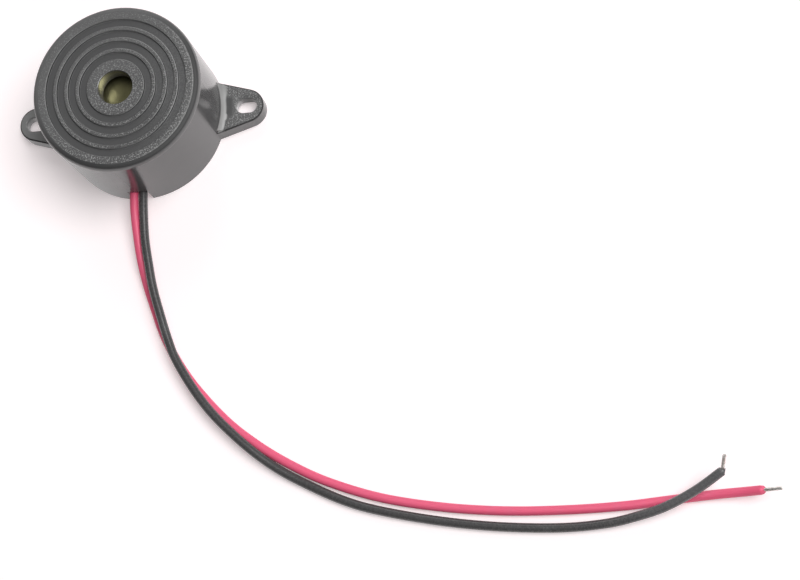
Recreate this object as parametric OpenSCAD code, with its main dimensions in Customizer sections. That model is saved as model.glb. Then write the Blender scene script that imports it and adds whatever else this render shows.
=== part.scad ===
// Self-drive piezo buzzer: a round moulded case with two slotted ears, a brass and
// ceramic sounder disc under the sound hole, a driver board behind it and two leads.

/* [Case] */
// Outside diameter of the round case
body_d = 23; // [20:0.5:26]
// Height of the case from its underside to its top face
body_h = 13; // [11.5:0.5:18]
// Thickness of the top plate
top_t = 2.2; // [1:0.1:2.4]
// Wall thickness round the sounder disc
wall_t = 1.4; // [1.2:0.1:2]
// Wall thickness of the skirt round the circuit board
skirt_t = 0.9; // [0.6:0.1:1]
// Radius of the rounded top edge
edge_r = 0.8; // [0.3:0.1:1]
// Diameter of the sound hole
sound_hole_d = 4.7; // [2:0.1:6]
// Radius that breaks the sharp edges of the top face
break_r = 0.12; // [0.05:0.01:0.2]

/* [Top rings] */
// Diameter of the flat boss round the sound hole
boss_d = 7.9; // [7:0.1:9]
// Number of ring grooves in the top face
groove_n = 4; // [1:1:4]
// Width of a ring groove
groove_w = 1.05; // [0.6:0.05:1.2]
// Distance from one ring groove to the next
groove_pitch = 1.55; // [1.45:0.05:1.6]
// Depth of a ring groove
groove_depth = 0.35; // [0.3:0.05:0.6]
// Radius of the two corners of a groove's floor
floor_r = 0.12; // [0.05:0.01:0.15]

/* [Ears] */
// Distance between the centres of the two slots
slot_pitch = 30; // [28.5:0.5:38]
// Width of a slot
slot_w = 2; // [1.5:0.1:2.8]
// Length of a slot along the line through both ears
slot_l = 2.9; // [2.5:0.1:3.1]
// Radius of a slot's rounded top edge
slot_lip_r = 0.15; // [0.1:0.05:0.3]
// Radius of a slot's rounded bottom edge
slot_foot_r = 0.8; // [0.2:0.1:0.9]
// Thickness of an ear
ear_t = 2.2; // [1.5:0.1:3]
// Radius of the rounded tip of an ear
ear_tip_r = 2.4; // [2.3:0.1:3.2]
// Angle at which each side of an ear widens towards the case
ear_taper = 17; // [5:1:25]
// Radius of the fillet between an ear and the case wall
ear_fillet_r = 1; // [0.4:0.1:1.5]
// Radius of the rounded top edge of an ear
ear_edge_r = 0.25; // [0.15:0.05:0.4]

/* [Lead notch] */
// Width of the notch that the leads come out of
notch_w = 2.7; // [2.6:0.1:4]
// Height of the notch above the underside
notch_h = 3.3; // [3.2:0.1:3.6]

/* [Sounder] */
// Height of the air space between the top plate and the disc
cavity_h = 1.1; // [1:0.1:2.5]
// Width of the ledge that the rim of the disc rests on
ledge_w = 1.2; // [0.8:0.1:1.6]
// Thickness of the brass disc
disc_t = 0.2; // [0.1:0.05:0.4]
// Diameter of the ceramic disc
ceramic_d = 14; // [13:0.5:14.5]
// Thickness of the ceramic disc
ceramic_t = 0.25; // [0.15:0.05:0.4]
// Bare rim of ceramic round the silver electrodes
electrode_margin = 0.6; // [0.3:0.1:0.8]
// Thickness of the silver electrodes
electrode_t = 0.05; // [0.03:0.01:0.1]
// Width of the tongue-shaped feedback electrode
tongue_w = 2.6; // [2:0.1:3]
// Distance of the tongue's round end from the centre
tongue_start = 2.4; // [2:0.1:3]
// Bare gap between the two electrodes
electrode_gap = 0.5; // [0.3:0.1:0.6]
// Direction of the tongue seen from above
tongue_angle = -33; // [-40:1:-25]
// Radius of the sealant bead under the disc rim
disc_bead_r = 0.7; // [0.4:0.1:0.9]

/* [Circuit board] */
// Height of the board's underside above the case's underside
board_z = 3.8; // [3.8:0.1:4.4]
// Thickness of the board
board_t = 1; // [0.8:0.1:1.6]
// Thickness of the copper tracks
copper_t = 0.05; // [0.03:0.01:0.1]
// Width of a copper track
track_w = 0.6; // [0.4:0.1:0.8]
// Copper left bare round a lead's solder joint
lead_pad_rim = 0.3; // [0.2:0.05:0.4]
// Copper left bare round a wire's solder joint
wire_pad_rim = 0.15; // [0.1:0.05:0.2]
// Radius of the sealant bead under the board rim
board_bead_r = 0.5; // [0.3:0.1:0.6]
// Clearance between a disc or board and its bore
fit = 0.1; // [0.05:0.01:0.15]

/* [Components] */
// Length of a chip resistor
chip_l = 2; // [1.8:0.1:2.2]
// Width of a chip resistor
chip_w = 1.25; // [0.8:0.05:1.4]
// Height of a chip resistor
chip_h = 0.5; // [0.3:0.05:0.7]
// Length of the metal cap on each end of a chip resistor
cap_l = 0.35; // [0.2:0.05:0.5]
// Length of the transistor's moulded body
transistor_l = 2.9; // [2.6:0.1:3.2]
// Width of the transistor's moulded body
transistor_w = 1.3; // [1.2:0.1:1.6]
// Height of the transistor's moulded body
transistor_h = 1; // [0.8:0.1:1.2]
// Width of a transistor leg
leg_w = 0.4; // [0.3:0.05:0.5]
// Thickness of a transistor leg
leg_t = 0.12; // [0.08:0.01:0.2]

/* [Wires] */
// Outside diameter of a lead
lead_d = 1.2; // [1:0.05:1.2]
// Diameter of the tinned conductor of a lead
core_d = 0.5; // [0.4:0.05:0.6]
// Length of the tinned end of the red lead
red_tip_l = 2.7; // [2:0.1:6]
// Length of a lead's conductor inside its solder joint
stub_l = 1.8; // [1.3:0.1:2]
// Diameter of a wire between the board and the disc
wire_d = 0.6; // [0.4:0.05:0.7]
// Diameter of the board's hole for such a wire
wire_hole_d = 0.8; // [0.75:0.05:1]
// Radius of the solder joint of a lead
lead_joint_r = 1.15; // [1.1:0.05:1.25]
// Radius of the solder joint of a wire on the board
wire_joint_r = 0.75; // [0.6:0.05:0.9]
// Height of a solder joint on the disc
disc_joint_h = 0.5; // [0.3:0.1:0.7]
// Radius of such a joint where the wire comes out of it
disc_joint_r = 0.42; // [0.4:0.01:0.5]

/* [Hidden] */
$fn = 96;
// How far a cut runs past a face
over = 1;
nick = 0.1;
// How far a rounding stands out past the faces that it crosses
lift = 0.005;

body_r = body_d / 2;
disc_bore_r = body_r - wall_t;
board_bore_r = body_r - skirt_t;
disc_r = disc_bore_r - fit;
board_r = board_bore_r - fit;
boss_r = boss_d / 2;
ceiling_z = body_h - top_t;
seat_z = ceiling_z - cavity_h;
ceramic_z = seat_z - disc_t - ceramic_t;
electrode_z = ceramic_z - electrode_t;
electrode_r = ceramic_d / 2 - electrode_margin;
board_top_z = board_z + board_t;
copper_z = board_z - copper_t;
ear_x = slot_pitch / 2;
slot_straight = slot_l - slot_w;

// Places on the board, seen from above
lead_pad_pitch = 3;
lead_pad_inset = 5.3;
red_pad = [-lead_pad_pitch / 2, lead_pad_inset - board_r];
black_pad = [lead_pad_pitch / 2, red_pad.y];
transistor_at = [1.5, 0];
leg_pitch = 1.9;
leg_reach = 0.55;
leg_bend = 0.18;
plate_angle = 124;
plate_hole_inset = 2.3;
plate_hole = (board_r - plate_hole_inset) * [cos(plate_angle), sin(plate_angle)];
drive_hole = [1.5, 4.6];
feedback_hole = [5.2, -5];
chips = [[-2.15, 2.6, 0], [5.2, 0.8, 90], [5.2, -2.2, 90]];
emitter = [transistor_at.x - leg_pitch / 2, transistor_at.y - transistor_w / 2 - leg_reach / 2];
base = [transistor_at.x + leg_pitch / 2, emitter.y];
collector = [transistor_at.x, transistor_at.y + transistor_w / 2 + leg_reach / 2];
cap_off = chip_l / 2 - cap_l / 2;

// Solder joints on the disc, seen from above: one on the bare brass rim, two on the electrodes
joint_gap = 0.1;
joint_inset = 0.5;
drive_angle = 82;
rim_in_r = ceramic_d / 2;
rim_out_r = disc_bore_r - disc_bead_r;
plate_joint_r = (rim_out_r - rim_in_r) / 2 - joint_gap;
plate_joint = (rim_in_r + rim_out_r) / 2 * [cos(plate_angle), sin(plate_angle)];
electrode_joint_d = electrode_r - wire_joint_r - joint_inset;
drive_joint = electrode_joint_d * [cos(drive_angle), sin(drive_angle)];
feedback_joint = electrode_joint_d * [cos(tongue_angle), sin(tongue_angle)];

// Tubes: corners of a ring, distance from ring to ring, straight share of a disc wire's ends
tube_sides = 8;
lead_ring_step = 3;
wire_ring_step = 0.8;
tip_ring_step = 0.5;
wire_straight_share = 0.25;

// Lay of the leads, measured from the outer edge of the notch to the cut ends of the insulation
red_lay = [
  [-1.15, 2.3, 2.75], [-0.67, 0.7, 2.55], [-0.64, -0.5, 2.5], [-0.6, -2.7, 2.3], [-0.3, -6, 1.9],
  [0.1, -9.2, 1.4], [0.8, -12.5, 0.9], [1.8, -15.8, 0.65], [3.1, -19.5, 0.65],
  [4.9, -23.1, 0.65], [7.6, -27.1, 0.65], [11.7, -31.7, 0.65], [15.8, -35.1, 0.65],
  [20.1, -37.9, 0.65], [25, -40.4, 0.65], [31.8, -42.8, 0.65], [39.5, -44.4, 0.65],
  [47.2, -45.3, 0.65], [54.7, -45.6, 0.65], [62.2, -45.5, 0.65], [67.8, -45.1, 0.65],
  [73.4, -44.7, 0.8], [77, -44.6, 1.3], [79.5, -44.6, 2.15]
];
black_lay = [
  [1.15, 2.3, 2.75], [0.67, 0.7, 2.55], [0.64, -0.5, 2.5], [0.7, -2.9, 2.5], [0.9, -6.4, 2.45],
  [1.4, -9.8, 2.4], [2, -13.2, 2.3], [2.9, -16.6, 2.2], [4.1, -20.6, 2.05], [5.2, -23.4, 2],
  [7.6, -27.5, 1.95], [10.4, -31.2, 1.85], [14.4, -35.2, 1.5], [18.2, -38.2, 1],
  [22.1, -40.5, 0.65], [27, -42.9, 0.65], [31.8, -44.5, 0.65], [39.5, -46.2, 0.65],
  [47.1, -47.3, 0.65], [54.6, -47.8, 0.65], [60.2, -47.6, 0.85], [64, -47, 1.3],
  [67.8, -46, 1.85], [71.6, -44.3, 2.7], [74.8, -42.4, 4]
];

// Routes of the leads, from their solder joints out through the notch
lead_drop = 0.75;
lead_straight = 1;
lead_start_z = copper_z - lead_drop;
notch_edge = [0, -body_r, 0];
function joint_start(at, along) = [at.x, at.y - stub_l - along, lead_start_z];
function lead_route(at, lay) =
  concat([joint_start(at, 0), joint_start(at, lead_straight)], [for (p = lay) notch_edge + p]);
red_route = lead_route(red_pad, red_lay);
black_route = lead_route(black_pad, black_lay);
red_end = red_route[len(red_route) - 1];
red_tip_route = [red_end, red_end + red_tip_l * end_heading(red_route)];
black_end = black_route[len(black_route) - 1];
black_tip_end = notch_edge + [75.4, -40.6, 5.8];
black_tip_straight = 0.25;
black_tip_route = [black_end, black_end + black_tip_straight * end_heading(black_route), black_tip_end];

// Smooth curve through hand-set points, and a round tube along it
function unit(v) = v / norm(v);
function with_ends(p) = concat([2 * p[0] - p[1]], p, [2 * p[len(p) - 1] - p[len(p) - 2]]);
function curve_point(q, i, t) =
  q[i + 1]
  + (q[i + 2] - q[i]) * t / 2
  + (2 * q[i] - 5 * q[i + 1] + 4 * q[i + 2] - q[i + 3]) * t * t / 2
  + (3 * q[i + 1] - q[i] - 3 * q[i + 2] + q[i + 3]) * t * t * t / 2;
function curve_points(p, step) =
  let (q = with_ends(p))
  concat(
    [for (i = [0:len(p) - 2])
      let (n = max(1, round(norm(p[i + 1] - p[i]) / step)))
      for (k = [0:n - 1]) curve_point(q, i, k / n)],
    [p[len(p) - 1]]
  );
function heading(c, i) = unit(c[min(i + 1, len(c) - 1)] - c[max(i - 1, 0)]);
function end_heading(route) =
  let (c = curve_points(route, lead_ring_step))
  heading(c, len(c) - 1);
function ring_points(centre, along, across, r) =
  let (side = unit(cross(along, across)), up = cross(side, along))
  [for (k = [0:tube_sides - 1])
    let (a = 360 * (k + 0.5) / tube_sides)
    centre + r * (cos(a) * side + sin(a) * up)];

module tube(route, d, step, across) {
  c = curve_points(route, step);
  s = tube_sides;
  last = (len(c) - 1) * s;
  points = [for (i = [0:len(c) - 1]) each ring_points(c[i], heading(c, i), across, d / 2)];
  walls = [for (i = [0:len(c) - 2], k = [0:s - 1])
    let (a = i * s + k, b = i * s + (k + 1) % s)
    each [[a, b + s, a + s], [a, b, b + s]]];
  ends = [[for (k = [s - 1:-1:0]) k], [for (k = [0:s - 1]) last + k]];
  polyhedron(points, concat(walls, ends), convexity = 10);
}

// Material left between a circle and the square corner outside it
module corner_waste(r) {
  difference() {
    translate([-nick, -r])
      square([r + nick, r + over]);
    translate([r, -r])
      circle(r);
  }
}

// Section of one ring groove, with rounded lips and a rounded floor
module groove_section() {
  translate([0, floor_r - groove_depth])
    square([groove_w, groove_depth + over]);
  translate([floor_r, -groove_depth])
    square([groove_w - 2 * floor_r, groove_depth]);
  for (x = [floor_r, groove_w - floor_r])
    translate([x, floor_r - groove_depth])
      circle(floor_r);
  translate([groove_w, 0])
    corner_waste(break_r);
  mirror([1, 0])
    corner_waste(break_r);
}

// Half section of the solid case, with its rounded top edge
module case_section() {
  difference() {
    square([body_r, body_h]);
    translate([body_r, body_h])
      mirror([1, 0])
        corner_waste(edge_r);
  }
}

// Half section of the stepped hollow under the top plate
module hollow_section() {
  translate([0, -over])
    square([board_bore_r, board_top_z + over]);
  square([disc_bore_r, seat_z]);
  square([disc_bore_r - ledge_w, ceiling_z]);
}

// Half section of the sound hole, with its rounded lip
module sound_hole_section() {
  square([sound_hole_d / 2, body_h + over]);
  translate([sound_hole_d / 2, body_h])
    corner_waste(break_r);
}

// Outline of an ear, whose sides cross its round tip just short of touching it
module ear_outline(tip_r) {
  tangent = (tip_r - lift) * [sin(ear_taper), cos(ear_taper)];
  root_x = body_r / 2;
  root_y = tangent.y + (ear_x + tangent.x - root_x) * tan(ear_taper);
  translate([ear_x, 0])
    circle(tip_r);
  polygon([
    [root_x, -root_y], [ear_x + tangent.x, -tangent.y],
    [ear_x + tangent.x, tangent.y], [root_x, root_y]
  ]);
}

// Waste that rounds the top edge of an ear, at its tip and along both sides
module ear_edge_waste() {
  translate([ear_x, 0, ear_t + lift]) {
    rotate(ear_taper - 90)
      rotate_extrude(angle = 180 - 2 * ear_taper)
        translate([ear_tip_r + lift, 0])
          mirror([1, 0])
            corner_waste(ear_edge_r);
    for (side = [0, 1])
      mirror([0, side, 0])
        rotate(ear_taper)
          translate([-ear_x, -ear_tip_r - lift, 0])
            rotate([90, 0, 90])
              linear_extrude(ear_x)
                corner_waste(ear_edge_r);
  }
}

module slot_outline() {
  translate([ear_x - slot_straight / 2, -slot_w / 2])
    square([slot_straight, slot_w]);
  for (x = [-1, 1])
    translate([ear_x + x * slot_straight / 2, 0])
      circle(d = slot_w);
}

// Waste that rounds an edge of a slot, at its ends and along both sides
module slot_edge_waste(r) {
  for (turn = [0, 180])
    rotate(turn) {
      translate([slot_straight / 2, 0, 0])
        rotate(-90)
          rotate_extrude(angle = 180)
            translate([slot_w / 2, 0])
              corner_waste(r);
      translate([-slot_straight / 2, slot_w / 2, 0])
        rotate([90, 0, 90])
          linear_extrude(slot_straight)
            corner_waste(r);
    }
}

module ear() {
  difference() {
    linear_extrude(ear_t)
      ear_outline(ear_tip_r);
    ear_edge_waste();
  }
  intersection() {
    rotate_extrude()
      translate([body_r, ear_t])
        difference() {
          translate([-wall_t / 2, -over / 2])
            square([ear_fillet_r + wall_t / 2, ear_fillet_r + over / 2]);
          translate([ear_fillet_r, ear_fillet_r])
            circle(ear_fillet_r);
        }
    linear_extrude(body_h)
      ear_outline(ear_tip_r - ear_edge_r);
  }
}

module housing() {
  color("#303032")
    difference() {
      union() {
        rotate_extrude()
          case_section();
        for (turn = [0, 180])
          rotate(turn)
            ear();
      }
      rotate_extrude()
        hollow_section();
      rotate_extrude()
        sound_hole_section();
      for (i = [0:groove_n - 1])
        rotate_extrude()
          translate([boss_r + i * groove_pitch, body_h])
            groove_section();
      for (turn = [0, 180])
        rotate(turn) {
          translate([0, 0, -over])
            linear_extrude(ear_t + 2 * over)
              slot_outline();
          translate([ear_x, 0, ear_t])
            slot_edge_waste(slot_lip_r);
          translate([ear_x, 0, 0])
            mirror([0, 0, 1])
              slot_edge_waste(slot_foot_r);
        }
      translate([-notch_w / 2, -body_r - over, -over])
        cube([notch_w, skirt_t + 2 * over, notch_h + over]);
    }
}

module diaphragm() {
  color("#c9a24a")
    translate([0, 0, seat_z - disc_t])
      cylinder(r = disc_r, h = disc_t);
}

module piezo_ceramic() {
  color("#d9d2bf")
    translate([0, 0, ceramic_z])
      cylinder(d = ceramic_d, h = ceramic_t);
}

// Tongue from near the centre to the rim, grown by a margin all round
module tongue_outline(grow) {
  rotate(tongue_angle) {
    translate([tongue_start, 0])
      circle(d = tongue_w + 2 * grow);
    translate([tongue_start, -tongue_w / 2 - grow])
      square([electrode_r, tongue_w + 2 * grow]);
  }
}

module drive_electrode() {
  color("#cfd0d2")
    translate([0, 0, electrode_z])
      linear_extrude(electrode_t)
        difference() {
          circle(electrode_r);
          tongue_outline(electrode_gap);
        }
}

module feedback_electrode() {
  color("#cfd0d2")
    translate([0, 0, electrode_z])
      linear_extrude(electrode_t)
        intersection() {
          circle(electrode_r);
          tongue_outline(0);
        }
}

// Quarter-round bead in the corner under a disc, against its bore
module corner_bead(bore_r, z, r) {
  rotate_extrude()
    intersection() {
      translate([bore_r, z])
        circle(r);
      translate([bore_r - r, z - r])
        square(r);
    }
}

module disc_bead() {
  color("#e4e2da")
    corner_bead(disc_bore_r, seat_z - disc_t, disc_bead_r);
}

module board_bead() {
  color("#e4e2da")
    corner_bead(board_bore_r, board_z, board_bead_r);
}

module wire_holes(h) {
  for (p = [plate_hole, drive_hole, feedback_hole])
    translate([p.x, p.y, -over])
      cylinder(d = wire_hole_d, h = h + 2 * over);
}

module circuit_board() {
  color("#b98a4a")
    translate([0, 0, board_z])
      difference() {
        cylinder(r = board_r, h = board_t);
        wire_holes(board_t);
      }
}

// Straight copper track with round ends between two places
module track(a, b) {
  run = b - a;
  translate(a)
    rotate(atan2(run.y, run.x)) {
      translate([0, -track_w / 2])
        square([norm(run), track_w]);
      for (x = [0, norm(run)])
        translate([x, 0])
          circle(d = track_w);
    }
}

module tracks(places) {
  for (i = [0:len(places) - 2])
    track(places[i], places[i + 1]);
}

module pad(at, r) {
  translate(at)
    circle(r);
}

function chip_end(chip, end) = [chip.x, chip.y] + end * cap_off * [cos(chip[2]), sin(chip[2])];

module chip_pads() {
  for (chip = chips, end = [-1, 1])
    translate(chip_end(chip, end))
      rotate(chip[2])
        square([cap_l + 2 * wire_pad_rim, chip_w], center = true);
}

module copper_outline() {
  supply = [plate_hole.x, chips[0].y];
  pad_r = lead_joint_r + lead_pad_rim;
  pad(red_pad, pad_r);
  pad(black_pad, pad_r);
  for (hole = [plate_hole, drive_hole, feedback_hole])
    pad(hole, wire_joint_r + wire_pad_rim);
  chip_pads();
  tracks([red_pad, [plate_hole.x, red_pad.y], plate_hole]);
  tracks([supply, chip_end(chips[0], -1)]);
  tracks([chip_end(chips[0], 1), [drive_hole.x, chips[0].y], drive_hole]);
  tracks([collector, [collector.x, chips[0].y], [chips[1].x, chips[0].y], chip_end(chips[1], 1)]);
  tracks([chip_end(chips[1], -1), chip_end(chips[2], 1)]);
  tracks([base, [chips[1].x, base.y]]);
  tracks([chip_end(chips[2], -1), feedback_hole]);
  tracks([emitter, [emitter.x, (emitter.y + black_pad.y) / 2], black_pad]);
}

module copper_tracks() {
  color("#c77f4e")
    translate([0, 0, copper_z])
      difference() {
        linear_extrude(copper_t)
          copper_outline();
        wire_holes(copper_t);
      }
}

module transistor_body() {
  color("#232325")
    translate([transistor_at.x - transistor_l / 2, transistor_at.y - transistor_w / 2,
      copper_z - leg_t - transistor_h])
      cube([transistor_l, transistor_w, transistor_h]);
}

// Bent leg from the side of the moulded body down to its pad, drawn towards +X
module transistor_leg() {
  rise = transistor_h / 2 + leg_t;
  rotate([90, 0, 0])
    translate([0, 0, -leg_w / 2])
      linear_extrude(leg_w)
        polygon([
          [0, -rise], [leg_bend + leg_t, -rise], [leg_bend + leg_t, -leg_t], [leg_reach, -leg_t],
          [leg_reach, 0], [leg_bend, 0], [leg_bend, -rise + leg_t], [0, -rise + leg_t]
        ]);
}

module transistor_legs() {
  side_y = transistor_w / 2;
  color("#b9bcc0")
    translate([transistor_at.x, transistor_at.y, copper_z]) {
      for (x = [-leg_pitch / 2, leg_pitch / 2])
        translate([x, -side_y, 0])
          rotate(-90)
            transistor_leg();
      translate([0, side_y, 0])
        rotate(90)
          transistor_leg();
    }
}

module chip_block(l) {
  translate([-l / 2, -chip_w / 2, -chip_h])
    cube([l, chip_w, chip_h]);
}

module resistor_bodies() {
  color("#2f2f33")
    for (chip = chips)
      translate([chip.x, chip.y, copper_z])
        rotate(chip[2])
          chip_block(chip_l - 2 * cap_l);
}

module resistor_caps() {
  color("#c4c6c9")
    for (chip = chips, end = [-1, 1])
      translate([chip_end(chip, end).x, chip_end(chip, end).y, copper_z])
        rotate(chip[2])
          chip_block(cap_l);
}

// Thin wire from its hole in the board up to its joint under the disc
module disc_wire(hole, joint, joint_z) {
  end_z = joint_z - disc_joint_h;
  straight = (end_z - board_top_z) * wire_straight_share;
  tube(
    [
      [hole.x, hole.y, copper_z], [hole.x, hole.y, board_top_z],
      [hole.x, hole.y, board_top_z + straight], [joint.x, joint.y, end_z - straight],
      [joint.x, joint.y, end_z]
    ],
    wire_d, wire_ring_step, [1, 0, 0]
  );
}

module plate_wire() {
  color("#c9b23c")
    disc_wire(plate_hole, plate_joint, seat_z - disc_t);
}

module drive_wire() {
  color("#d9d9d6")
    disc_wire(drive_hole, drive_joint, electrode_z);
}

module feedback_wire() {
  color("#3f66b0")
    disc_wire(feedback_hole, feedback_joint, electrode_z);
}

module disc_joint(at, z, r) {
  translate([at.x, at.y, z - disc_joint_h])
    cylinder(r1 = disc_joint_r, r2 = r, h = disc_joint_h);
}

module disc_solder() {
  color("#c2c4c6") {
    disc_joint(plate_joint, seat_z - disc_t, plate_joint_r);
    disc_joint(drive_joint, electrode_z, wire_joint_r);
    disc_joint(feedback_joint, electrode_z, wire_joint_r);
  }
}

// Dome of solder that hangs from the copper
module solder_dome(at, r) {
  translate([at.x, at.y, copper_z])
    rotate_extrude()
      intersection() {
        circle(r);
        translate([0, -r])
          square(r);
      }
}

// Length of conductor that lies in a lead's solder joint
module lead_stub(at) {
  translate([at.x, at.y, lead_start_z])
    rotate([90, 0, 0])
      cylinder(d = core_d, h = stub_l);
}

module board_solder() {
  color("#c2c4c6") {
    for (hole = [plate_hole, drive_hole, feedback_hole])
      solder_dome(hole, wire_joint_r);
    for (at = [red_pad, black_pad])
      difference() {
        solder_dome(at, lead_joint_r);
        lead_stub(at);
      }
  }
}

module red_lead() {
  color("#d8456e")
    tube(red_route, lead_d, lead_ring_step, [0, 0, 1]);
}

module red_conductor() {
  color("#b8b6b0") {
    lead_stub(red_pad);
    tube(red_tip_route, core_d, tip_ring_step, [0, 0, 1]);
  }
}

module black_lead() {
  color("#3a3d3d")
    tube(black_route, lead_d, lead_ring_step, [0, 0, 1]);
}

module black_conductor() {
  color("#b8b6b0") {
    lead_stub(black_pad);
    tube(black_tip_route, core_d, tip_ring_step, [0, 0, 1]);
  }
}

housing();
diaphragm();
piezo_ceramic();
drive_electrode();
feedback_electrode();
disc_bead();
circuit_board();
copper_tracks();
board_bead();
transistor_body();
transistor_legs();
resistor_bodies();
resistor_caps();
plate_wire();
drive_wire();
feedback_wire();
disc_solder();
board_solder();
red_lead();
red_conductor();
black_lead();
black_conductor();
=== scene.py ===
"""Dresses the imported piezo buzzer.

The moulded case, the sounder and the driver board keep their solids and get finishes. The two leads, their
twisted tinned ends and the wires to the disc are made here, and the stage holds floor, light and camera."""

import math

import bpy
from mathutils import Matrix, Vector


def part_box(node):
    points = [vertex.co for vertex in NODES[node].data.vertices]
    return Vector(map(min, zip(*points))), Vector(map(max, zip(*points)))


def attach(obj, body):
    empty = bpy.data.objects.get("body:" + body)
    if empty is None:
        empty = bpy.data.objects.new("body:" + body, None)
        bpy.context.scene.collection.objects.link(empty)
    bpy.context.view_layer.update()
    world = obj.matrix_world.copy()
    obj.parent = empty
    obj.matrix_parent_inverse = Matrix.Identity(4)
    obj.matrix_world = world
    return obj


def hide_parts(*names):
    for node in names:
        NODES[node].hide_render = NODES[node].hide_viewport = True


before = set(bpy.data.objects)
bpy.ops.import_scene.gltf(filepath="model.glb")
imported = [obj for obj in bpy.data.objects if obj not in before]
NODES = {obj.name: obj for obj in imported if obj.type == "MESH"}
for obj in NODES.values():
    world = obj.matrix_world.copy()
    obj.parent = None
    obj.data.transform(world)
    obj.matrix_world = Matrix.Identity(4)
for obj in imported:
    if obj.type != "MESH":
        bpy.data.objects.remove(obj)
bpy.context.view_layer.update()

bl_info = {
    "name": "Piezo buzzer",
    "version": (1, 0, 0),
    "blender": (4, 5, 0),
    "location": "View3D > Sidebar > Buzzer",
    "description": "Finishes, leads and studio stage of a round piezo buzzer",
    "category": "Object",
}

MM = 0.001

# Sizes of the case that its finish follows, in millimetres. EAR_TAPER is the level normal of an ear's side,
# and EAR_LINE is how far from the middle of its slot the ear's painted dark outline, a painted shade along its
# edge, starts.
CASE_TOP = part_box("housing")[1].z / MM
CASE_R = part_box("housing")[1].y / MM
FLAT_R = CASE_R - 0.8
BORE_R = 2.42
BORE_L = 2.3
RINGS_IN = 3.5
RINGS_OUT = 9.9
GROOVE_DEPTH = 0.35
EAR_T = 2.2
EAR_FILLET_R = 1.0
EAR_TAPER = (0.292, 0.956)
EAR_LINE = 2.15
SLOT_START = 13.0
SLOT_MID = 15.0
SLOT_END = 16.45
NOTCH_EDGE = Vector((0, -CASE_R, 0))

# Level direction to the front right of the case, the side that the painted light and shade follow
FRONT_RIGHT = (0.64, -0.77)

# Lay of the leads, in millimetres from the outer edge of the notch. The third knot lies in its mouth.
RED_LAY = [
    (-1.15, 2.3, 2.75), (-0.67, 0.7, 2.55), (-0.64, -0.5, 2.5), (-0.6, -2.7, 2.3), (-0.3, -6, 1.9),
    (0.1, -9.2, 1.4), (0.8, -12.5, 0.9), (1.8, -15.8, 0.65), (3.1, -19.5, 0.65),
    (4.9, -23.1, 0.65), (7.6, -27.1, 0.65), (11.7, -31.7, 0.65), (15.8, -35.1, 0.65),
    (20.1, -37.9, 0.65), (25, -40.4, 0.65), (31.8, -42.8, 0.65), (39.5, -44.4, 0.65),
    (47.2, -45.3, 0.65), (54.7, -45.6, 0.65), (62.2, -45.5, 0.65), (67.8, -45.1, 0.65),
    (73.4, -44.7, 0.8), (77, -44.6, 1.3), (79.5, -44.6, 2.15),
]
BLACK_LAY = [
    (1.15, 2.3, 2.75), (0.67, 0.7, 2.55), (0.64, -0.5, 2.5), (0.7, -2.9, 2.5), (0.9, -6.4, 2.45),
    (1.4, -9.8, 2.4), (2, -13.2, 2.3), (2.9, -16.6, 2.2), (4.1, -20.6, 2.05), (5.2, -23.4, 2),
    (7.6, -27.5, 1.95), (10.4, -31.2, 1.85), (14.4, -35.2, 1.5), (18.2, -38.2, 1),
    (22.1, -40.5, 0.65), (27, -42.9, 0.65), (31.8, -44.5, 0.65), (39.5, -46.2, 0.65),
    (47.1, -47.3, 0.65), (54.6, -47.8, 0.65), (60.2, -47.6, 0.85), (64, -47, 1.3),
    (67.8, -46, 1.85), (71.6, -44.3, 2.7), (74.8, -42.4, 4),
]
BLACK_TIP_END = (75.4, -40.6, 5.8)

# Length of a sleeve's narrowed cut end, and where along x the black sleeve turns lighter grey with painted
# light, in millimetres
CUT_END_L = 0.09
LIGHT_FROM, LIGHT_TO = 58, 73

# Solder joints of the leads on the board, and lengths of the bare conductor at both ends, in millimetres
RED_PAD = Vector((-1.5, -5.2, 3))
BLACK_PAD = Vector((1.5, -5.2, 3))
STUB_L = 1.8
STUB_STRAIGHT = 1.0
RED_TIP_L = 2.7
BLACK_TIP_STRAIGHT = 0.25

# Strands round the centre one, spacing of their points in millimetres, and fine steps between two points
STRANDS_ROUND = 6
TWIST_STEP = 0.12
SPAN_STEPS = 24

# Edges sharper than this stay sharp
CREASE = math.radians(50)

# Heights of the board's top and its copper, and the wires from the board to the disc: node, slot, hole in
# the board, joint under the disc and its height, in millimetres
BOARD_TOP = 4.8
COPPER_Z = 3.75
DISC_WIRES = (
    ("plate_wire", "yellow_wire", (-4.585, 6.798), (-4.585, 6.798), 9.0),
    ("drive_wire", "white_wire", (1.5, 4.6), (0.717, 5.1), 8.7),
    ("feedback_wire", "blue_wire", (5.2, -5.0), (4.319, -2.805), 8.7),
)

# Directions from the buzzer to the key light, the brightest sky and the back light
KEY_SIDE = Vector((0.452, 0.06, 0.89))
SKY_SIDE = Vector((0.45, -0.06, 0.891))
BACK_SIDE = Vector((-0.1, 0.8, 0.59))

# Share of the sky's light away from its brightest side, and where the rest of it starts
SKY_REST = 0.1
SKY_EDGE = 0.77

# Distance and sizes of the lights and size of the floor, in metres
LIGHT_AWAY = 0.7
KEY_SIZE = 0.46
BACK_SIZE = 0.4
FLOOR_SIZE = 6

# Floor's drop under the part and where its far glow starts and ends, in millimetres
FLOOR_DROP = 0.02
FAR_FROM, FAR_TO = 100, 900

# Glow of the floor for the camera, further out, and for mirrors
NEAR_GLOW, FAR_GLOW, MIRROR_GLOW = 0.345, 0.75, 0.48

# Camera: place in millimetres, turn in radians, sensor width, and focal length over image width
CAMERA_PLACE = Vector((71.4356, -86.3411, 221.7697))
CAMERA_TURN = (0.2536, 0.1698, -0.0291)
SENSOR_W = 36
FOCAL_RATIO = 1763.3 / 800

# Colours with alpha
BLACK = (0, 0, 0, 1)
WHITE = (1, 1, 1, 1)
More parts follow.
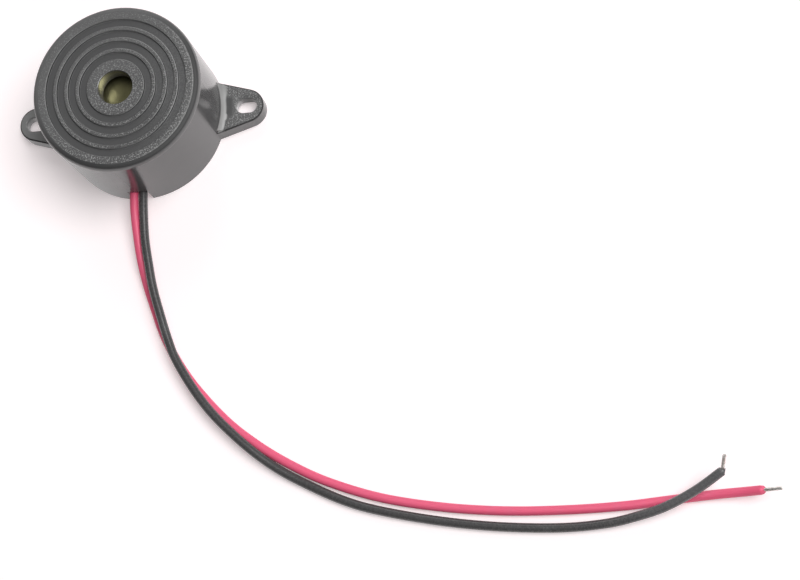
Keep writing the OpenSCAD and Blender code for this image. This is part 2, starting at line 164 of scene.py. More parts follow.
# Pale grey of painted light on the slot walls and of painted highlights on the groove lips
PALE_HIGHLIGHT_GREY = (0.8, 0.8, 0.8, 1)
# Lighter grey of the painted light on the far stretch of the black sleeve
END_LIGHT_GREY = (0.22, 0.22, 0.225, 1)


class Value:
    """A number that changes over a surface. Arithmetic on it adds Math nodes."""

    def __init__(self, finish, socket):
        self.finish = finish
        self.socket = socket

    def _math(self, operation, *terms):
        node = self.finish.node("ShaderNodeMath", {"operation": operation}, dict(enumerate(terms)))
        return Value(self.finish, node.outputs[0])

    def __add__(self, other):
        return self._math("ADD", self, other)

    def __radd__(self, other):
        return self._math("ADD", other, self)

    def __sub__(self, other):
        return self._math("SUBTRACT", self, other)

    def __rsub__(self, other):
        return self._math("SUBTRACT", other, self)

    def __mul__(self, other):
        return self._math("MULTIPLY", self, other)

    def __rmul__(self, other):
        return self._math("MULTIPLY", other, self)

    def __pow__(self, other):
        return self._math("POWER", self, other)

    def step(self, low, high):
        """0 below low, 1 above high and smooth between them."""
        node = self.finish.node(
            "ShaderNodeMapRange", {"interpolation_type": "SMOOTHSTEP"},
            {"Value": self, "From Min": low, "From Max": high})
        return Value(self.finish, node.outputs[0])

    def sign(self):
        """-1, 0 or 1."""
        return self._math("SIGN", self)

    def band(self, low, high, soft):
        """1 between low and high, with soft edges outside them."""
        return self.step(low - soft, low) * (1 - self.step(high, high + soft))


class Finish:
    """Node tree of one material, in millimetres of the part's own frame."""

    def __init__(self, name):
        self.material = bpy.data.materials.new(f"{name}_finish")
        self.material.use_nodes = True
        self.tree = self.material.node_tree
        self.tree.nodes.clear()

    @classmethod
    def on(cls, world):
        """Node tree of a world."""
        finish = cls.__new__(cls)
        finish.tree = world.node_tree
        finish.tree.nodes.clear()
        return finish

    def node(self, kind, settings=None, sockets=None):
        """Any node: its settings are set first, then the values or links of its sockets."""
        node = self.tree.nodes.new(kind)
        for key, value in (settings or {}).items():
            setattr(node, key, value)
        for key, value in (sockets or {}).items():
            if isinstance(value, Value):
                value = value.socket
            if isinstance(value, bpy.types.NodeSocket):
                self.tree.links.new(value, node.inputs[key])
            else:
                node.inputs[key].default_value = value
        return node

    def place(self):
        """Object coordinates in millimetres, as a vector socket."""
        where = self.node("ShaderNodeTexCoord").outputs["Object"]
        scaled = self.node("ShaderNodeVectorMath", {"operation": "SCALE"}, {0: where, "Scale": 1 / MM})
        return scaled.outputs[0]

    def parts(self, vector):
        """A vector's x, y and z."""
        split = self.node("ShaderNodeSeparateXYZ", None, {0: vector})
        return [Value(self, out) for out in split.outputs]

    def noise(self, vector, scale, detail, roughness):
        """Noise from 0 to 1."""
        node = self.node(
            "ShaderNodeTexNoise", None,
            {"Vector": vector, "Scale": scale, "Detail": detail, "Roughness": roughness})
        return Value(self, node.outputs["Fac"])

    def mix(self, factor, first, second):
        """Colour that goes from first to second."""
        node = self.node("ShaderNodeMix", {"data_type": "RGBA"}, {0: factor, 6: first, 7: second})
        return node.outputs[2]

    def stretch(self, vector, scale):
        """Coordinates scaled apart, for grain that runs one way."""
        return self.node("ShaderNodeMapping", None, {"Vector": vector, "Scale": scale}).outputs[0]

    def bump(self, height, distance_mm, strength):
        """Normal that follows a height."""
        node = self.node(
            "ShaderNodeBump", None, {"Strength": strength, "Distance": distance_mm * MM, "Height": height})
        return node.outputs["Normal"]

    def surface(self, **sockets):
        """Principled surface; a socket's name is written with underscores."""
        named = {key.replace("_", " "): value for key, value in sockets.items()}
        shader = self.node("ShaderNodeBsdfPrincipled", None, named)
        self.node("ShaderNodeOutputMaterial", None, {"Surface": shader.outputs[0]})
        return self.material


def rgb(colour):
    """Colour with full alpha."""
    return (*colour[:3], 1.0)


def tinted(colour, factor):
    """Colour made lighter or darker."""
    return (*(min(1.0, c * factor) for c in colour[:3]), 1.0)


def moulded_plastic(smooth, glint_grey, strip):
    """Black moulded case: spark texture on the flats of the top and ears, glossy walls, satin grooves; painted
    light and shade.
    """
    f = Finish("case_plastic")
    where = f.place()
    x, y, z = f.parts(where)
    reach = (x * x + y * y) ** 0.5
    over_top, over_ear = z - CASE_TOP, z - EAR_T
    past_flat, past_wall = reach - FLAT_R, reach - CASE_R
    grit = f.noise(where, 5.4, 3.0, 0.62)
    cloud = f.noise(where, 0.35, 2.0, 0.5)

    # Sides of the case: front right, right, where both meet, and near the axis through the ears; painted light
    # and shade follow them
    near = (FRONT_RIGHT[0] * x + FRONT_RIGHT[1] * y).step(-9, 7)
    right = x.step(1, 9)
    lit = right * near * near
    side = x * x * reach ** -2

    # Top: its flats, the lips, floors and walls of the grooves, and the rounded rim with its outer edge, with
    # painted light and shade by side
    top = over_top.step(-0.05, -0.02) * (1 - past_flat.step(-0.04, 0.03))
    lips = over_top.band(-0.11, -0.04, 0.02) * reach.band(2.8, FLAT_R - 0.2, 0.1)
    groove = (over_top + GROOVE_DEPTH).band(-0.02, 0.08, 0.05) * (1 - reach.step(RINGS_OUT - 0.3, RINGS_OUT))
    steep = (over_top + GROOVE_DEPTH).band(0.03, GROOVE_DEPTH - 0.1, 0.02)
    steep = steep * reach.step(RINGS_IN, RINGS_IN + 0.2) * (1 - reach.step(RINGS_OUT, RINGS_OUT + 0.1))
    outer_flat = top * reach.step(RINGS_OUT - 0.1, RINGS_OUT)
    edge = past_flat.step(0.5, 0.62) * over_top.band(-0.85, -0.25, 0.05)
    # The rim gets painted shade at the front right and painted light behind; its lower edge and the flat's
    # outer edge get painted highlights
    rim = past_flat.step(0, 0.06) * over_top.step(-0.5, -0.25) - 0.8 * edge * near

    # Ears: their flats, the left one lightened with painted light, the smooth patch from wall to right slot
    # with painted shade, and the fillets
    ear = over_ear.band(-0.02, 0.01, 0.02) * past_wall.step(0.85, 1.05)
    # Left ear: painted light, lighter and without the grain's painted glints
    left_ear_painted_light = ear * (1 - x.step(-CASE_R - 0.5, -CASE_R))
    # Patch from wall to right slot: smooth, with painted shade for the dark wall it reflects
    smooth_shaded_patch = (ear - left_ear_painted_light) * (1 - past_wall.step(1.3, 2.2)) * (1 - (y * y).step(1.2, 3.4))
    # Fillet at an ear's root: a painted highlight along it
    across = y * x.sign()
    wide = past_wall - 0.5 * across.step(0.8, 3.0) - 0.2 * across.band(-1.6, -1.2, 0.4)
    root = over_ear.band(0, EAR_FILLET_R, 0.05) * past_wall.step(0.04, 0.16)
    root = root * (1 - wide.step(0.5, 0.85)) * (1 - 0.3 * across.step(1.2, 3.0))

    # Slots: wall and lip, the part of the wall with painted light and the part with painted shade, the lip
    # with painted light, and the ear's edge and outline round them with painted shade
    out = x * x.sign() - SLOT_MID
    by_slot = (1 - (y * y).step(1.9, 2.2)) * (1 - reach.step(SLOT_END + 0.35, SLOT_END + 0.45))
    in_slot = by_slot * reach.step(SLOT_START, SLOT_START + 0.2)
    slot_wall = in_slot * z.band(0.5, EAR_T - 0.1, 0.35)
    slot_lip = in_slot * over_ear.band(-0.16, -0.03, 0.02)
    # Painted light on the slot wall, lighter towards its foot
    slot_painted_light = 0.9 * slot_wall * (1 - x.step(-1, 1) * out.step(-1.2, -0.4)) * (1 - z.step(1.4, 2.3))
    # Painted shade on the far, upper part of the right slot's wall
    slot_painted_shade = 0.5 * slot_wall * y.step(0.3, 1.2) * x.step(13.6, 15.2)
    # Painted shade along the ear's rounded top edge
    ear_edge_shade = over_ear.band(-0.17, -0.015, 0.01) * past_wall.step(0.8, 1.0) * (1 - by_slot)
    # Painted shade as a dark outline on the ear's top near its edge
    outline_shade = (EAR_TAPER[0] * out + EAR_TAPER[1] * y * y.sign()).step(EAR_LINE, EAR_LINE + 0.1)
    bow = out.step(0.6, 0.8) * ((out * out + y * y) ** 0.5).step(EAR_LINE, EAR_LINE + 0.1)
    outline_shade = outline_shade + (1 - outline_shade) * bow

    # Sound hole: its wall, and the polished upper part of that wall at the back
    bore = (over_top + BORE_L).step(-0.2, 0) * (1 - reach.step(BORE_R, BORE_R + 0.08))
    polish = bore * over_top.step(-BORE_L, -0.5) * y.step(-0.8, 0.7)

    # Colour: grain with painted glints and painted light on edges, grooves and the left ear, light grey of
    # painted highlights, pale grey of painted light, then painted shade and a darker random tone
    spark = top + ear - smooth_shaded_patch - left_ear_painted_light
    # Painted glints in the grain, strongest towards the front right, and painted light on the left ear, slot
    # lips, rim, grooves and the flat's outer edge
    glint = spark * (grit.step(0.5, 0.66) * (0.25 + 0.75 * near) + 0.1 * (1 - near))
    glint = glint + 0.52 * (left_ear_painted_light + slot_lip) + 0.1 * ear + 0.14 * rim * (1 - near) + 0.2 * edge * near
    glint = glint + 0.13 * groove * right * grit.step(0.4, 0.62)
    glint = glint + lit * outer_flat * (0.1 + 0.5 * past_flat.step(-0.25, -0.1))
    body = f.mix(glint, rgb(smooth), rgb(glint_grey))
    # Painted highlights in light grey on ear roots, groove lips and the front and back groove walls, and in
    # pale grey on the right side's lips
    body = f.mix(root + (0.45 + 0.5 * side) * lips + 0.3 * steep * (1 - side), body, rgb(strip))
    body = f.mix(slot_painted_light + 0.7 * lips * side * lit, body, PALE_HIGHLIGHT_GREY)
    # Darker: random tone from cloud, and painted shade on left groove floors, groove walls at left and right,
    # the rim's front right, the patch by the right ear, ear edges and outline, and the slot wall
    shade = 0.2 * cloud + 0.1 * groove * (1 - right) + 0.95 * steep * side + 0.95 * near * rim
    shade = shade + 0.4 * smooth_shaded_patch + 0.85 * ear_edge_shade + 0.6 * ear * outline_shade + 0.7 * slot_painted_shade
    body = f.mix(shade, body, tinted(smooth, 0.45))

    rough = 0.17 + 0.05 * cloud + 0.3 * spark + 0.2 * groove + 0.4 * rim + 0.2 * lips + 0.5 * steep
    rough = rough + 0.22 * root + 0.15 * smooth_shaded_patch + 0.7 * ear_edge_shade + 0.5 * slot_painted_shade + 0.3 * slot_lip
    rough = rough + 0.35 * (bore - polish)
    height = 0.18 * (0.2 + 0.8 * near) * spark * (grit - 0.5) + 0.004 * groove * grit
    return f.surface(
        Base_Color=body, Roughness=rough, IOR=1.55, Coat_Weight=polish, Coat_Roughness=0.05, Coat_IOR=2.0,
        Normal=f.bump(height, 1.0, 0.9))


def rolled_brass(colour):
    """Brass sheet with rolling grain and stains."""
    f = Finish("brass")
    where = f.place()
    grain = f.noise(f.stretch(where, (0.35, 6.0, 1.0)), 3.0, 3.0, 0.6)
    stain = f.noise(where, 0.5, 3.0, 0.55)
    body = f.mix(stain.step(0.35, 0.75), rgb(colour), tinted(colour, 0.72))
    return f.surface(
        Base_Color=body, Metallic=1.0, Roughness=0.32 + 0.05 * grain, Normal=f.bump(grain, 0.002, 0.5))


def fired_ceramic(colour):
    """Matt, fine-grained ceramic."""
    f = Finish("piezo_ceramic")
    where = f.place()
    grain = f.noise(where, 6.0, 3.0, 0.6)
    body = f.mix(grain, tinted(colour, 0.9), tinted(colour, 1.06))
    return f.surface(Base_Color=body, Roughness=0.55 + 0.1 * grain, Normal=f.bump(grain, 0.01, 0.5))


def bright_metal(name, colour, stain_colour, roughness, grain_scale):
    """Tin, silver or solder with a mottled, slightly dulled skin."""
    f = Finish(name)
    where = f.place()
    grain = f.noise(where, grain_scale, 3.0, 0.6)
    stain = f.noise(where, grain_scale * 0.3, 2.0, 0.5).step(0.45, 0.75)
    body = f.mix(stain, rgb(colour), rgb(stain_colour))
    return f.surface(
        Base_Color=body, Metallic=1.0, Roughness=roughness + 0.15 * grain, Normal=f.bump(grain, 0.012, 0.5))


def cured_sealant(colour):
    """Lumpy white sealant that lets in a little light."""
    f = Finish("sealant")
    where = f.place()
    lumps = f.noise(where, 0.9, 3.0, 0.5)
    body = f.mix(lumps, tinted(colour, 0.88), tinted(colour, 1.04))
    return f.surface(
        Base_Color=body, Roughness=0.34 + 0.2 * lumps, Subsurface_Weight=0.15,
        Subsurface_Radius=(0.4, 0.35, 0.3), Subsurface_Scale=MM, Normal=f.bump(lumps, 0.12, 0.8))


def board_laminate(colour):
    """Paper-phenolic board with short fibres."""
    f = Finish("board_laminate")
    where = f.place()
    fibres = f.noise(f.stretch(where, (0.6, 5.0, 1.0)), 2.2, 4.0, 0.65)
    blotch = f.noise(where, 0.5, 2.0, 0.5)
    body = f.mix((fibres + 0.4 * blotch).step(0.4, 1.0), tinted(colour, 0.8), tinted(colour, 1.12))
    return f.surface(Base_Color=body, Roughness=0.42 + 0.15 * fibres, Normal=f.bump(fibres, 0.012, 0.6))


def lacquered_copper(colour):
    """Copper tracks with tarnish under a thin lacquer."""
    f = Finish("copper")
    where = f.place()
    grain = f.noise(where, 5.0, 3.0, 0.6)
    tarnish = f.noise(where, 0.8, 3.0, 0.6).step(0.4, 0.8)
    body = f.mix(tarnish, rgb(colour), tinted(colour, 0.6))
    return f.surface(
        Base_Color=body, Metallic=1.0, Roughness=0.28 + 0.2 * grain, Coat_Weight=0.3 * tarnish,
        Normal=f.bump(grain, 0.006, 0.5))


def chip_moulding(name, colour, roughness):
    """Gritty body of a small chip."""
    f = Finish(name)
    where = f.place()
    grit = f.noise(where, 12.0, 3.0, 0.6)
    body = f.mix(grit, tinted(colour, 0.8), tinted(colour, 1.25))
    return f.surface(Base_Color=body, Roughness=roughness + 0.12 * grit, Normal=f.bump(grit, 0.01, 0.6))


def insulation(name, colour, dusty, gloss=0.36, end_painted_light=0.0):
    """Soft PVC sleeve with a faint skin texture and a little dust; the last argument makes its far stretch
    lighter grey, as painted light.
    """
    f = Finish(name)
    where = f.place()
    skin = f.noise(where, 3.0, 3.0, 0.55)
    dust = f.noise(where, 0.45, 3.0, 0.6).step(0.45, 0.85)
    body = f.mix(0.35 * dust + 0.25 * skin, rgb(colour), rgb(dusty))
    if end_painted_light:
        x, _, _ = f.parts(where)
        # Painted light: the far stretch made lighter grey
        body = f.mix(end_painted_light * x.step(LIGHT_FROM, LIGHT_TO), body, END_LIGHT_GREY)
    return f.surface(
        Base_Color=body, Roughness=gloss + 0.14 * skin, IOR=1.46, Normal=f.bump(skin, 0.008, 0.4))


def dress(node, material):
    """Gives a solid that keeps its shape its finish."""
    mesh = NODES[node].data
    mesh.materials.clear()
    mesh.materials.append(material)


def as_mesh(curve, material):
    """The curve made a mesh, with one finish."""
    bpy.ops.object.select_all(action="DESELECT")
    curve.select_set(True)
    bpy.context.view_layer.objects.active = curve
    bpy.ops.object.convert(target="MESH")
    bpy.ops.object.shade_smooth_by_angle(angle=CREASE)
    made = bpy.context.view_layer.objects.active
    made.data.materials.clear()
    made.data.materials.append(material)
    return made


def add_spline(curve, points, ends=(1.0, 1.0)):
    """Smooth spline through points in millimetres; ends narrow its first and last ring."""
    points = [Vector(p) for p in points]
    spline = curve.splines.new("BEZIER")
    spline.bezier_points.add(len(points) - 1)
    for i, knot in enumerate(spline.bezier_points):
        before, after = points[max(i - 1, 0)], points[min(i + 1, len(points) - 1)]
        pull = (after - before) / 6
        knot.handle_left_type = knot.handle_right_type = "FREE"
        knot.co = points[i] * MM
        knot.handle_left = (points[i] - pull) * MM
        knot.handle_right = (points[i] + pull) * MM
    spline.bezier_points[0].radius = ends[0]
    spline.bezier_points[-1].radius = ends[1]


def add_curve(name, diameter, round_sides, steps):
    """Empty round curve of a diameter in metres."""
    curve = bpy.data.curves.new(name, "CURVE")
    curve.dimensions = "3D"
    curve.bevel_depth = diameter / 2
    curve.bevel_resolution = round_sides
    curve.resolution_u = steps
    curve.use_fill_caps = True
    obj = bpy.data.objects.new(name, curve)
    bpy.context.scene.collection.objects.link(obj)
    return obj


def lead_route(pad, lay):
    """Points of one lead's sleeve, from its solder joint to its cut end."""
    start = pad + Vector((0, -STUB_L, 0))
    return [start, start + Vector((0, -STUB_STRAIGHT, 0))] + [NOTCH_EDGE + Vector(p) for p in lay]


def tip_route(route, end=None):
    """Points of the bare conductor beyond the cut end."""
    along = (route[-1] - route[-2]).normalized()
    if end is None:
        return [route[-1], route[-1] + along * RED_TIP_L / 2, route[-1] + along * RED_TIP_L]
    return [route[-1], route[-1] + along * BLACK_TIP_STRAIGHT, end]


def resample(points, count):
    """Evenly spaced points on the smooth curve through points, each with its heading and its run."""
    ends = [2 * points[0] - points[1]] + list(points) + [2 * points[-1] - points[-2]]
    fine = []
    for i in range(len(points) - 1):
        a, b, c, d = ends[i:i + 4]
        for k in range(SPAN_STEPS):
            t = k / SPAN_STEPS
            fine.append(
                b + (c - a) * t / 2 + (2 * a - 5 * b + 4 * c - d) * t * t / 2
                + (3 * b - a - 3 * c + d) * t ** 3 / 2)
    fine.append(points[-1])
    run = [0.0]
    for p, q in zip(fine, fine[1:]):
        run.append(run[-1] + (q - p).length)
    out = []
    for i in range(count):
        goal, k = run[-1] * i / (count - 1), 0
        while k < len(run) - 2 and run[k + 1] < goal:
            k += 1
        part = (goal - run[k]) / max(run[k + 1] - run[k], 1e-9)
        out.append((fine[k].lerp(fine[k + 1], part), (fine[k + 1] - fine[k]).normalized(), goal))
    return out


def twist(points, strand_d, lay_length, turn):
    """A centre strand and others twisted round it along points."""
    length = sum((q - p).length for p, q in zip(points, points[1:]))
    samples = resample(points, max(12, int(length / TWIST_STEP)))
    strands = [[p for p, _, _ in samples]]
    for k in range(STRANDS_ROUND):
        strand = []
        for p, along, run in samples:
            side = along.cross(Vector((0, 0, 1))).normalized()
            up = side.cross(along)
            angle = math.tau * (k / STRANDS_ROUND + run / lay_length) + turn
            strand.append(p + strand_d * (math.cos(angle) * side + math.sin(angle) * up))
        strands.append(strand)
    return strands


class BuzzerFinish(bpy.types.PropertyGroup):
    """Colours of the buzzer's own pieces."""

    case: bpy.props.FloatVectorProperty(
        name="Case", description="Moulded black of the smooth walls", subtype="COLOR", size=3,
        default=(0.092, 0.092, 0.093), min=0, max=1)
    # Grey of the grain's painted glints and of the painted light on edges, grooves and the left ear
    spark: bpy.props.FloatVectorProperty(
        name="Case texture", description="Grey of the textured flats at its lightest", subtype="COLOR", size=3,
        default=(0.42, 0.42, 0.416), min=0, max=1)
    # Light grey of painted highlights on the ear roots and groove lips, and of painted light on groove walls
    strip: bpy.props.FloatVectorProperty(
        name="Ear root", description="Satin grey of the fillet at the root of an ear", subtype="COLOR", size=3,
        default=(0.415, 0.415, 0.41), min=0, max=1)
    red: bpy.props.FloatVectorProperty(
        name="Red sleeve", description="Insulation of the red lead", subtype="COLOR", size=3,
        default=(0.95, 0.128, 0.244), min=0, max=1)
    black: bpy.props.FloatVectorProperty(
        name="Black sleeve", description="Insulation of the black lead", subtype="COLOR", size=3,
        default=(0.068, 0.066, 0.067), min=0, max=1)
    tin: bpy.props.FloatVectorProperty(
        name="Tinned strands", description="Tinned copper of the lead ends", subtype="COLOR", size=3,
        default=(0.84, 0.82, 0.79), min=0, max=1)
    brass: bpy.props.FloatVectorProperty(
        name="Brass", description="Disc under the sound hole", subtype="COLOR", size=3,
        default=(0.37, 0.35, 0.185), min=0, max=1)


class BuzzerLeads(bpy.types.PropertyGroup):
    """Sizes of the leads."""

    sleeve_d: bpy.props.FloatProperty(
        name="Sleeve diameter", description="Outside diameter of a lead", unit="LENGTH", default=1.2 * MM)
    strand_d: bpy.props.FloatProperty(
        name="Strand diameter", description="Diameter of one tinned strand", unit="LENGTH", default=0.17 * MM)
    strand_lay: bpy.props.FloatProperty(
        name="Lay length", description="Length of one turn of the twisted strands", unit="LENGTH",
        default=3.2 * MM)
    wire_d: bpy.props.FloatProperty(
        name="Disc wire diameter", description="Diameter of a wire from board to disc", unit="LENGTH",
        default=0.6 * MM)


class BuzzerStage(bpy.types.PropertyGroup):
    """Light and floor of the studio."""

    floor: bpy.props.FloatVectorProperty(
        name="Floor", description="Colour of the floor", subtype="COLOR", size=3, default=(0.9, 0.835, 0.842),
        min=0, max=1)
    sky: bpy.props.FloatProperty(
        name="Sky", description="Strength of the soft light from above", default=1.15, min=0)
    key: bpy.props.FloatProperty(
        name="Key light", description="Power of the large soft light", unit="POWER", default=2.8, min=0)
    back: bpy.props.FloatProperty(
        name="Back light", description="Power of the soft light behind", unit="POWER", default=0.8, min=0)


class BUZZER_OT_case(bpy.types.Operator):
    """Finish the moulded case"""

    bl_idname = "buzzer.case"
    bl_label = "Case"

    def execute(self, context):
        look = context.scene.buzzer_finish
        dress("housing", moulded_plastic(look.case, look.spark, look.strip))
        return {"FINISHED"}


class BUZZER_OT_sounder(bpy.types.Operator):
    """Finish the brass and ceramic disc and its sealant"""

    bl_idname = "buzzer.sounder"
    bl_label = "Sounder"

    def execute(self, context):
        look = context.scene.buzzer_finish
        dress("diaphragm", rolled_brass(look.brass))
        dress("piezo_ceramic", fired_ceramic((0.80, 0.76, 0.66)))
        silver = bright_metal("silver", (0.82, 0.82, 0.81), (0.62, 0.6, 0.55), 0.36, 8.0)
        dress("drive_electrode", silver)
        dress("feedback_electrode", silver)
        sealant = cured_sealant((0.86, 0.85, 0.82))
        dress("disc_bead", sealant)
        dress("board_bead", sealant)
        return {"FINISHED"}


class BUZZER_OT_board(bpy.types.Operator):
    """Finish the driver board, its chips and its solder"""

    bl_idname = "buzzer.board"
    bl_label = "Driver board"

    def execute(self, context):
        dress("circuit_board", board_laminate((0.62, 0.43, 0.20)))
        dress("copper_tracks", lacquered_copper((0.80, 0.46, 0.28)))
        dress("transistor_body", chip_moulding("transistor_epoxy", (0.03, 0.03, 0.033), 0.45))
        dress("resistor_bodies", chip_moulding("resistor_body", (0.035, 0.035, 0.04), 0.25))
        tin = bright_metal("tinned_metal", (0.74, 0.74, 0.75), (0.6, 0.59, 0.56), 0.3, 9.0)
        dress("transistor_legs", tin)
        dress("resistor_caps", tin)
        solder = bright_metal("solder", (0.74, 0.75, 0.76), (0.56, 0.55, 0.52), 0.22, 2.4)
        dress("disc_solder", solder)
        dress("board_solder", solder)
        return {"FINISHED"}


class BUZZER_OT_leads(bpy.types.Operator):
    """Make the red and the black lead"""

    bl_idname = "buzzer.leads"
    bl_label = "Leads"

    def execute(self, context):
        look, size = context.scene.buzzer_finish, context.scene.buzzer_leads
        for colour, tint, dusty, gloss, end_painted_light, pad, lay in (
            ("red", look.red, (0.80, 0.16, 0.28), 0.36, 0.0, RED_PAD, RED_LAY),
            ("black", look.black, (0.13, 0.13, 0.13), 0.2, 0.4, BLACK_PAD, BLACK_LAY),
        ):
            route = lead_route(pad, lay)
            back = (route[-2] - route[-1]).normalized() * CUT_END_L
            lead = add_curve(f"{colour}_sleeve", size.sleeve_d, round_sides=8, steps=10)
            add_spline(lead.data, route[:-1] + [route[-1] + back, route[-1]], ends=(1.0, 0.9))
            lead.data.materials.append(insulation(f"{colour}_insulation", tint, dusty, gloss, end_painted_light))
            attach(lead, "root")
            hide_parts(f"{colour}_lead")
        return {"FINISHED"}


class BUZZER_OT_strands(bpy.types.Operator):
    bl_idname = "buzzer.strands"
    bl_label = "Tinned ends"

    def execute(self, context):
        look, size = context.scene.buzzer_finish, context.scene.buzzer_leads
        tin = bright_metal("tinned_copper", look.tin, (0.5, 0.46, 0.41), 0.34, 7.0)
        strand = size.strand_d / MM
        for colour, pad, lay, end, turn in (
            ("red", RED_PAD, RED_LAY, None, 0.0),
            ("black", BLACK_PAD, BLACK_LAY, NOTCH_EDGE + Vector(BLACK_TIP_END), 0.9),
        ):
            route = lead_route(pad, lay)
            tip = tip_route(route, end)
            stub = [pad, pad + Vector((0, -STUB_L / 2, 0)), pad + Vector((0, -STUB_L, 0))]
            ends = add_curve(f"{colour}_strands", size.strand_d, round_sides=3, steps=3)
            for points in (tip, stub):
                for path in twist(points, strand, size.strand_lay / MM, turn):
                    add_spline(ends.data, path, ends=(1.0, 0.7))
            ends = as_mesh(ends, tin)
            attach(ends, "root")
            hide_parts(f"{colour}_conductor")
        return {"FINISHED"}


class BUZZER_OT_disc_wires(bpy.types.Operator):
    """Make the three wires from the board to the disc"""

    bl_idname = "buzzer.disc_wires"
    bl_label = "Disc wires"

    def execute(self, context):
        size = context.scene.buzzer_leads
        skins = {
            "yellow_wire": ((0.62, 0.46, 0.06), (0.68, 0.55, 0.2)),
            "white_wire": ((0.72, 0.71, 0.68), (0.8, 0.79, 0.77)),
            "blue_wire": ((0.05, 0.14, 0.42), (0.16, 0.24, 0.48)),
        }
        for name, slot, hole, joint, top in DISC_WIRES:
            straight = (top - BOARD_TOP) / 4
            wire = add_curve(f"{name}_sleeve", size.wire_d, round_sides=6, steps=8)
            add_spline(wire.data, [
                (*hole, COPPER_Z), (*hole, BOARD_TOP), (*hole, BOARD_TOP + straight),
                (*joint, top - straight), (*joint, top)])
            wire = as_mesh(wire, insulation(slot, *skins[slot]))
            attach(wire, "root")
            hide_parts(name)
        return {"FINISHED"}


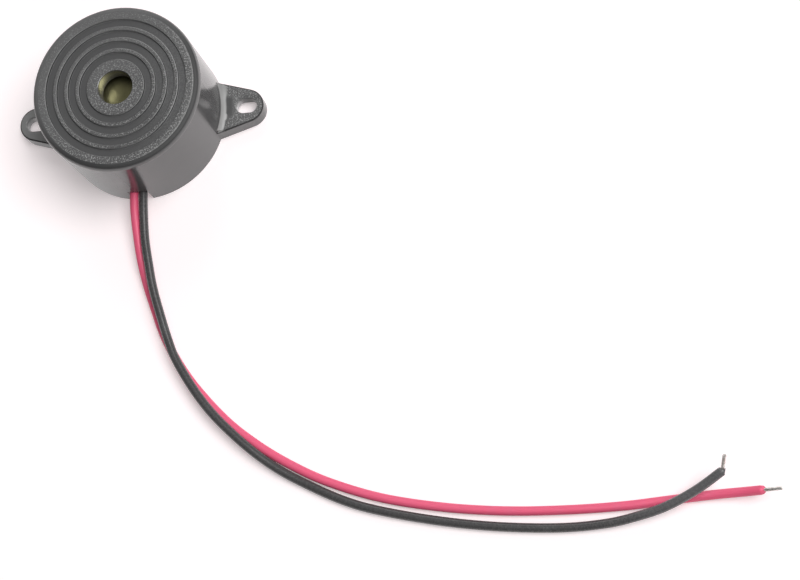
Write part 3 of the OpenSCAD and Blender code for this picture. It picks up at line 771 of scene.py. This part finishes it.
class BUZZER_OT_stage(bpy.types.Operator):
    """Set the floor, the light and the camera"""

    bl_idname = "buzzer.stage"
    bl_label = "Stage"

    def execute(self, context):
        stage = context.scene.buzzer_stage
        bpy.ops.mesh.primitive_plane_add(size=FLOOR_SIZE, location=(0, 0, -FLOOR_DROP * MM))
        floor = context.view_layer.objects.active
        floor.name = "floor"
        floor.data.materials.append(self.paper(stage.floor))
        self.soft_light("key_light", KEY_SIDE * LIGHT_AWAY, KEY_SIZE, stage.key)
        self.soft_light("back_light", BACK_SIDE * LIGHT_AWAY, BACK_SIZE, stage.back)
        self.sky(context.scene, stage.sky)
        bpy.ops.object.camera_add(location=CAMERA_PLACE * MM, rotation=CAMERA_TURN)
        camera = context.view_layer.objects.active
        camera.name = "photo_camera"
        camera.data.sensor_width = SENSOR_W
        camera.data.lens = SENSOR_W * FOCAL_RATIO
        camera.data.clip_start = 0.01
        context.scene.camera = camera
        context.scene.view_settings.view_transform = "Standard"
        return {"FINISHED"}

    def paper(self, colour):
        """White floor: it keeps the shadow, and a glow for the camera and for mirrors makes the rest white."""
        f = Finish("floor_paper")
        path = f.node("ShaderNodeLightPath")
        x, y, _ = f.parts(f.place())
        far = ((x * x + y * y) ** 0.5).step(FAR_FROM, FAR_TO)
        camera, glossy = Value(f, path.outputs["Is Camera Ray"]), Value(f, path.outputs["Is Glossy Ray"])
        diffuse = f.node("ShaderNodeBsdfDiffuse", None, {"Color": rgb(colour)})
        tint = f.mix(glossy, tinted(colour, 1 / colour[0]), WHITE)
        level = (NEAR_GLOW + FAR_GLOW * far) * camera + MIRROR_GLOW * glossy
        light = f.node(
            "ShaderNodeMix", {"data_type": "RGBA", "clamp_factor": False}, {0: level, 6: BLACK, 7: tint})
        glow = f.node("ShaderNodeEmission", None, {"Color": light.outputs[2], "Strength": 1.0})
        both = f.node("ShaderNodeAddShader", None, {0: diffuse.outputs[0], 1: glow.outputs[0]})
        f.node("ShaderNodeOutputMaterial", None, {"Surface": both.outputs[0]})
        return f.material

    def soft_light(self, name, place, size, power):
        """Round area light that faces the buzzer."""
        bpy.ops.object.light_add(type="AREA", location=place)
        light = bpy.context.view_layer.objects.active
        light.name = name
        light.data.shape = "DISK"
        light.data.size = size
        light.data.energy = power
        light.rotation_euler = (-Vector(place)).to_track_quat("-Z", "Y").to_euler()
        light.visible_camera = False

    def sky(self, scene, strength):
        """Soft light, brightest at one side of the zenith; the camera sees it white."""
        world = bpy.data.worlds.new("studio")
        scene.world = world
        world.use_nodes = True
        f = Finish.on(world)
        towards = f.node("ShaderNodeTexCoord").outputs["Generated"]
        facing = f.node(
            "ShaderNodeVectorMath", {"operation": "DOT_PRODUCT"}, {0: towards, 1: SKY_SIDE}).outputs["Value"]
        level = strength * (SKY_REST + (1 - SKY_REST) * Value(f, facing).step(SKY_EDGE, 1.0))
        seen = Value(f, f.node("ShaderNodeLightPath").outputs["Is Camera Ray"])
        back = f.node(
            "ShaderNodeBackground", None, {"Color": WHITE, "Strength": level * (1 - seen) + seen})
        f.node("ShaderNodeOutputWorld", None, {"Surface": back.outputs[0]})


class BUZZER_PT_sidebar(bpy.types.Panel):
    """Lists the buzzer's steps and settings"""

    bl_idname = "BUZZER_PT_sidebar"
    bl_label = "Piezo buzzer"
    bl_space_type = "VIEW_3D"
    bl_region_type = "UI"
    bl_category = "Buzzer"

    def draw(self, context):
        for step in STEPS:
            self.layout.operator(step.bl_idname)
        for group in ("buzzer_finish", "buzzer_leads", "buzzer_stage"):
            settings = getattr(context.scene, group)
            column = self.layout.column()
            for name in settings.bl_rna.properties.keys():
                if name not in ("rna_type", "name"):
                    column.prop(settings, name)


STEPS = (
    BUZZER_OT_stage, BUZZER_OT_leads, BUZZER_OT_strands, BUZZER_OT_disc_wires, BUZZER_OT_case,
    BUZZER_OT_sounder, BUZZER_OT_board)
CLASSES = (BuzzerFinish, BuzzerLeads, BuzzerStage, *STEPS, BUZZER_PT_sidebar)


def register():
    for cls in CLASSES:
        bpy.utils.register_class(cls)
    bpy.types.Scene.buzzer_finish = bpy.props.PointerProperty(type=BuzzerFinish)
    bpy.types.Scene.buzzer_leads = bpy.props.PointerProperty(type=BuzzerLeads)
    bpy.types.Scene.buzzer_stage = bpy.props.PointerProperty(type=BuzzerStage)


def unregister():
    del bpy.types.Scene.buzzer_stage
    del bpy.types.Scene.buzzer_leads
    del bpy.types.Scene.buzzer_finish
    for cls in reversed(CLASSES):
        bpy.utils.unregister_class(cls)


def main():
    register()
    bpy.ops.object.select_all(action="DESELECT")
    bpy.ops.buzzer.stage()
    bpy.ops.buzzer.leads()
    bpy.ops.buzzer.strands()
    bpy.ops.buzzer.disc_wires()
    bpy.ops.buzzer.case()
    bpy.ops.buzzer.sounder()
    bpy.ops.buzzer.board()


if __name__ == "__main__":
    main()
